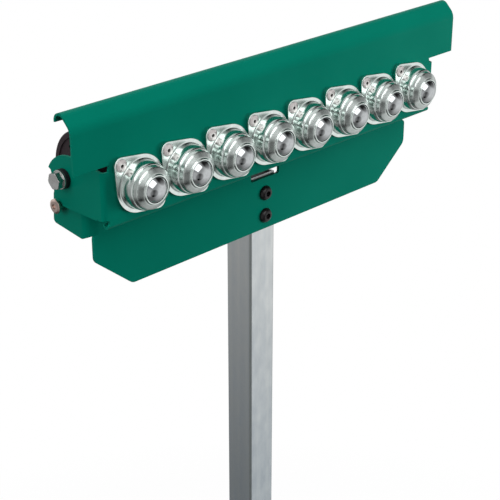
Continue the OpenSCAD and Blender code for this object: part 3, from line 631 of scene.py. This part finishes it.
class STAND_OT_ball_units(bpy.types.Operator):
    """The row of cups and caps, one mesh of each, and the polished balls"""
    bl_idname = "stand.ball_units"
    bl_label = "Ball units"

    def execute(self, context):
        units = context.scene.stand_units
        tree = row_tree()
        seam, cup_front = PLATE_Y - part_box(CAPS[0])[1].y, PLATE_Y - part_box(CUPS[0])[0].y
        for name, nodes, edge, drum in (
                ("cup_row", CUPS, 0.45 * MM, (8.5 * MM, cup_front, 1.9 * MM, 10)),
                ("cap_row", CAPS, 0.2 * MM, (seam + 0.8 * MM, seam + 3.5 * MM, 0.8 * MM, 0))):
            made = softened(nodes[0], edge, name)
            narrow_drum(made, *drum)
            grow(made, tree, {
                "Count": units.count, "Pitch": units.pitch, "Material": finish("turned_zinc")})
            dress(evened(made), "zinc_plate", body_of(nodes[0]), *nodes, look="turned_zinc")
        for node in BALLS + ["bearing_balls"]:
            paint(node)
        return {"FINISHED"}


class STAND_OT_rivets(bpy.types.Operator):
    """Blind rivets with the snapped mandrel in the head and the bulb behind the sheet"""
    bl_idname = "stand.rivets"
    bl_label = "Flange rivets"

    def execute(self, context):
        units = context.scene.stand_units
        head = units.rivet_head
        low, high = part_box("flange_rivets")
        lobe = Vector((low.x + head - FIRST.x, 0, high.z - head - FIRST.z))
        face = (PLATE_Y - low.y) / MM - RIVET_HEAD_T
        tail = -(high.y - PLATE_Y) / MM
        tree = rivet_tree()
        for name, outline, slot, look, replaced in (
                ("flange_rivet_row", rivet_outline(head / MM, face, tail), "zinc_plate", "aluminium",
                 ["flange_rivets"]),
                # The mandrel stub is a real part, and its black finish is painted shade in the rivet's
                # bore
                ("rivet_mandrel_row", mandrel_outline(face), "black_oxide", "black_oxide", [])):
            made = as_object(name, turned(name, outline, 32))
            grow(made, tree, {
                "Count": units.count, "Pitch": units.pitch, "First": (FIRST.x, PLATE_Y, FIRST.z),
                "Lobe": lobe, "Material": finish(look)})
            tidy_shading(made.data, 35)
            dress(made, slot, body_of("flange_rivets"), *replaced, look=look)
        return {"FINISHED"}


class STAND_OT_roller(bpy.types.Operator):
    """The roller with its end caps, bearings, sleeves and fixed axle"""
    bl_idname = "stand.roller"
    bl_label = "Roller"

    def execute(self, context):
        for node in ("roller_tube", "roller_axle", "roller_bearings", "axle_spacers"):
            paint(node)
        for node in ("roller_cap_left", "roller_cap_right"):
            dress_node(node, 0.4 * MM)
        return {"FINISHED"}


class STAND_OT_pivots(bpy.types.Operator):
    """Pivot bolts, washers, nylon bushes and spacers, and the stop screws"""
    bl_idname = "stand.pivots"
    bl_label = "Pivots and stops"

    def execute(self, context):
        for node, edge in (("pivot_bolts", 0.4), ("pivot_washers", 0.2), ("pivot_bushes", 0.5),
                           ("spacer_washers", 0.3), ("stop_nuts", 0.25)):
            dress_node(node, edge * MM)
        dress_node("stop_screws", 0.3 * MM, "warm_zinc")
        return {"FINISHED"}


class STAND_OT_mast(bpy.types.Operator):
    """The square mast, its plug and slider, the column, its collar and the nut of the lock knob"""
    bl_idname = "stand.mast"
    bl_label = "Mast and column"

    def execute(self, context):
        for node, edge in (("mast_tube", 0.25), ("mast_slider", 0.5), ("mast_plug", 0.4),
                           ("column_tube", 0.3), ("column_bush", 0.8), ("knob_nut", 0.25)):
            dress_node(node, edge * MM)
        return {"FINISHED"}


class STAND_OT_knob(bpy.types.Operator):
    """The five-lobed lock knob with its pressed-in cover, and its stem"""
    bl_idname = "stand.knob"
    bl_label = "Lock knob"

    def execute(self, context):
        dress_node("lock_knob", 1.2 * MM, "knob_nylon")
        dress_node("lock_stem", 0.4 * MM)
        face = Vector((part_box("lock_knob")[1].x, 0, middle("lock_knob").z))
        cover = as_object("knob_cover", turned("knob cover", COVER_OUTLINE, 48))
        cover.data.transform(Matrix.Translation(face) @ Matrix.Rotation(math.pi / 2, 4, "Y"))
        tidy_shading(cover.data, 50)
        dress(cover, "black_nylon", body_of("lock_knob"), look="knob_nylon")
        return {"FINISHED"}


class STAND_OT_legs(bpy.types.Operator):
    """The four pressed legs with their bolts, nuts, feet and foot screws"""
    bl_idname = "stand.legs"
    bl_label = "Legs and feet"

    def execute(self, context):
        edge = context.scene.stand_finish.broken_edge
        for side in ("front", "back", "left", "right"):
            dress_node("leg_" + side, 1.5 * edge)
        for node, width in (("leg_bolts", 0.35), ("leg_nuts", 0.25), ("rubber_feet", 0.8),
                            ("foot_screws", 0.3), ("foot_nuts", 0.25)):
            dress_node(node, width * MM)
        return {"FINISHED"}


# Stage

# What metal shows of the room besides its even grey. Each soft patch has the direction it lies in, the
# cosines off that direction at which it ends and is full, and the brightness it adds there
ROOM_GREY = 0.46
ROOM = (
    ((0.64, -0.64, -0.38), 0.45, 0.97, 0.54),  # a pale wall on the right
    ((-0.8, -0.55, -0.3), 0.8, 0.97, 0.25),  # a smaller one on the left
    ((0.0, 0.9, 0.45), 0.35, 0.75, 0.50),  # the wall behind
    ((-0.27, -0.86, -0.40), 0.86, 0.94, -0.37),  # the dark spot low in the balls
    ((0.80, -0.22, 0.55), 0.78, 0.93, -0.44),  # the dark corner at their upper right
    ((0, 0, -1), 0.5, 0.85, -0.28),  # the floor
    ((-0.6, 0.5, -0.62), 0.6, 0.9, -0.13),  # the floor's far left
)


def area_light(name, centre, size, power):
    """A soft rectangular light on the head, which neither the camera nor a mirror sees."""
    lamp = bpy.data.lights.new(name, "AREA")
    lamp.shape = "RECTANGLE"
    lamp.size, lamp.size_y = size
    lamp.energy = power
    made = as_object(name, lamp)
    head = Vector((0, -0.03, 0.96))
    made.location = centre
    made.rotation_euler = (head - Vector(centre)).to_track_quat("-Z", "Y").to_euler()
    made.visible_camera = False
    made.visible_glossy = False


def patch(tree, way, aim, low, high, amount):
    """A soft patch of the room: from 0 to amount as a direction turns towards aim."""
    towards = add(tree, "ShaderNodeVectorMath", {"operation": "DOT_PRODUCT"}, {
        0: way, 1: Vector(aim).normalized()})
    return add(tree, "ShaderNodeMapRange", {"interpolation_type": "SMOOTHSTEP"}, {
        "Value": towards, "From Min": low, "From Max": high, "To Min": 0, "To Max": amount})


def window(tree, way, aim, half, amount):
    """A bright square of the room that stands on its corner round a direction, with soft edges."""
    ahead = Vector(aim).normalized()
    side = ahead.cross(Vector((0, 0, 1))).normalized()
    rise = side.cross(ahead)
    depth, one, two = (
        add(tree, "ShaderNodeVectorMath", {"operation": "DOT_PRODUCT"}, {0: way, 1: axis.normalized()})
        for axis in (ahead, side + rise, side - rise))
    slopes = []
    for across in (one, two):
        slope = add(tree, "ShaderNodeMath", {"operation": "DIVIDE"}, {0: across, 1: depth})
        slopes.append(add(tree, "ShaderNodeMath", {"operation": "ABSOLUTE"}, {0: slope}))
    far = add(tree, "ShaderNodeMath", {"operation": "MAXIMUM"}, {0: slopes[0], 1: slopes[1]})
    edge = 0.06
    lit = add(tree, "ShaderNodeMapRange", {"interpolation_type": "SMOOTHSTEP"}, {
        "Value": far, "From Min": half - edge, "From Max": half + edge, "To Min": amount, "To Max": 0})
    in_front = add(tree, "ShaderNodeMath", {"operation": "GREATER_THAN"}, {0: depth, 1: 0})
    return add(tree, "ShaderNodeMath", {"operation": "MULTIPLY"}, {0: lit, 1: in_front})


def total(tree, values, start):
    """The sum of some node values and a number."""
    for value in values:
        start = add(tree, "ShaderNodeMath", {"operation": "ADD"}, {0: start, 1: value})
    return start


def straight_rays(tree, rays):
    """1 for the rays that show the studio itself: from the camera, a mirror or glass."""
    return total(tree, [rays["Is Glossy Ray"], rays["Is Transmission Ray"]], rays["Is Camera Ray"])


def studio_world():
    """White behind the object. Metal shows it as a pale room with dark corners, as a studio has."""
    world = bpy.data.worlds.new("studio")
    bpy.context.scene.world = world
    world.use_nodes = True
    tree = world.node_tree
    tree.nodes.clear()
    rays = add(tree, "ShaderNodeLightPath").outputs
    way = add(tree, "ShaderNodeTexCoord").outputs["Object"]
    light = total(tree, [patch(tree, way, (0.45, -0.50, 0.74), -0.95, 0.75, 0.375)], 0.2)
    soft = add(tree, "ShaderNodeBackground", inputs={"Color": (0.97, 0.985, 1.0, 1), "Strength": light})
    room = [window(tree, way, (-0.32, -0.57, 0.75), 0.5, 2.1)] + [patch(tree, way, *row) for row in ROOM]
    strength = add(tree, "ShaderNodeMix", {"data_type": "FLOAT"}, {
        "Factor": rays["Is Camera Ray"], "A": total(tree, room, ROOM_GREY), "B": 1.0})
    white = add(tree, "ShaderNodeBackground", inputs={"Color": (1, 1, 1, 1), "Strength": strength})
    mixed = add(tree, "ShaderNodeMixShader", inputs={"Fac": straight_rays(tree, rays), 1: soft, 2: white})
    add(tree, "ShaderNodeOutputWorld", inputs={"Surface": mixed})


def floor_finish():
    """Seamless studio paper: matt, and white to the camera wherever no shadow falls."""
    made, tree, shader, where = new_material("studio paper")
    fill(tree, shader, {"Base Color": (*bpy.context.scene.stand_stage.floor_colour, 1),
                        "Roughness": 0.9, "Specular IOR Level": 0.1})
    rays = add(tree, "ShaderNodeLightPath").outputs
    glow = add(tree, "ShaderNodeEmission", inputs={
        "Color": (1, 1, 1, 1), "Strength": straight_rays(tree, rays)})
    # The paper near the stand shows its shadow, and from 0.3 m to 1 m away it turns to plain white
    reach = add(tree, "ShaderNodeVectorMath", {"operation": "LENGTH"}, {0: where})
    share = add(tree, "ShaderNodeMapRange", inputs={
        "Value": reach, "From Min": 0.3, "From Max": 1.0, "To Min": 0.55, "To Max": 1.0})
    both = add(tree, "ShaderNodeMixShader", inputs={"Fac": share, 1: shader, 2: glow})
    out = next(n for n in tree.nodes if n.type == "OUTPUT_MATERIAL")
    fill(tree, out, {"Surface": both})
    return made


def photograph_camera():
    """A camera at the photograph's angle: turned 45 degrees from the head's front and 25 degrees up."""
    lens = bpy.data.cameras.new("camera")
    lens.sensor_width = 36
    lens.lens = 98.12
    lens.clip_end = 100
    turn, rise, distance = math.radians(45.194), math.radians(24.918), 1.20355
    ahead = Vector((math.sin(turn) * math.cos(rise), math.cos(turn) * math.cos(rise), -math.sin(rise)))
    target = Vector((-0.04483, -0.0440, 0.87921))
    camera = as_object("camera", lens)
    camera.location = target - ahead * distance
    camera.rotation_euler = ahead.to_track_quat("-Z", "Y").to_euler()
    return camera


class STAND_OT_stage(bpy.types.Operator):
    """Floor, soft lights, pale room and the camera at the photograph's angle"""
    bl_idname = "stand.stage"
    bl_label = "Stage"

    def execute(self, context):
        look = context.scene.stand_stage
        shape = bmesh.new()
        bmesh.ops.create_circle(shape, cap_ends=True, radius=14, segments=96)
        floor = as_object("floor", as_mesh("floor", shape))
        floor.data.materials.append(floor_finish())
        floor.visible_glossy = False
        area_light("front light", (-0.74, -1.29, 2.57), (1.5, 1.5), look.key_power)
        area_light("top light", (-0.5, 0.35, 2.7), (1.8, 1.4), look.top_power)
        area_light("side light", (-2.1, 0.2, 1.5), (1.2, 1.4), look.side_power)
        area_light("right light", (0.9, -0.95, 0.88), (0.7, 0.3), look.right_power)
        studio_world()
        context.scene.view_settings.view_transform = "Standard"
        context.scene.camera = photograph_camera()
        return {"FINISHED"}


class STAND_PT_panel(bpy.types.Panel):
    """The stand's pieces and settings"""
    bl_idname = "STAND_PT_panel"
    bl_label = "Roller stand"
    bl_space_type = "VIEW_3D"
    bl_region_type = "UI"
    bl_category = "Roller stand"

    def draw(self, context):
        for settings in (context.scene.stand_finish, context.scene.stand_units, context.scene.stand_stage):
            box = self.layout.box()
            for name in settings.__annotations__:
                box.prop(settings, name)
        for operator in OPERATORS:
            self.layout.operator(operator.bl_idname)


OPERATORS = (STAND_OT_stage, STAND_OT_head_sheet, STAND_OT_bracket, STAND_OT_ball_units, STAND_OT_rivets,
             STAND_OT_roller, STAND_OT_pivots, STAND_OT_mast, STAND_OT_knob, STAND_OT_legs)
CLASSES = (StandFinish, StandUnits, StandStage) + OPERATORS + (STAND_PT_panel,)


def register():
    """Adds the classes, and the three groups of settings to the scene."""
    for item in CLASSES:
        bpy.utils.register_class(item)
    bpy.types.Scene.stand_finish = PointerProperty(type=StandFinish)
    bpy.types.Scene.stand_units = PointerProperty(type=StandUnits)
    bpy.types.Scene.stand_stage = PointerProperty(type=StandStage)


def unregister():
    """Takes the settings and the classes away again."""
    del bpy.types.Scene.stand_finish, bpy.types.Scene.stand_units, bpy.types.Scene.stand_stage
    for item in reversed(CLASSES):
        bpy.utils.unregister_class(item)


def main():
    """Builds the stage and every piece."""
    register()
    for operator in OPERATORS:
        group, name = operator.bl_idname.split(".")
        getattr(getattr(bpy.ops, group), name)()
    bpy.context.view_layer.update()


if __name__ == "__main__":
    main()
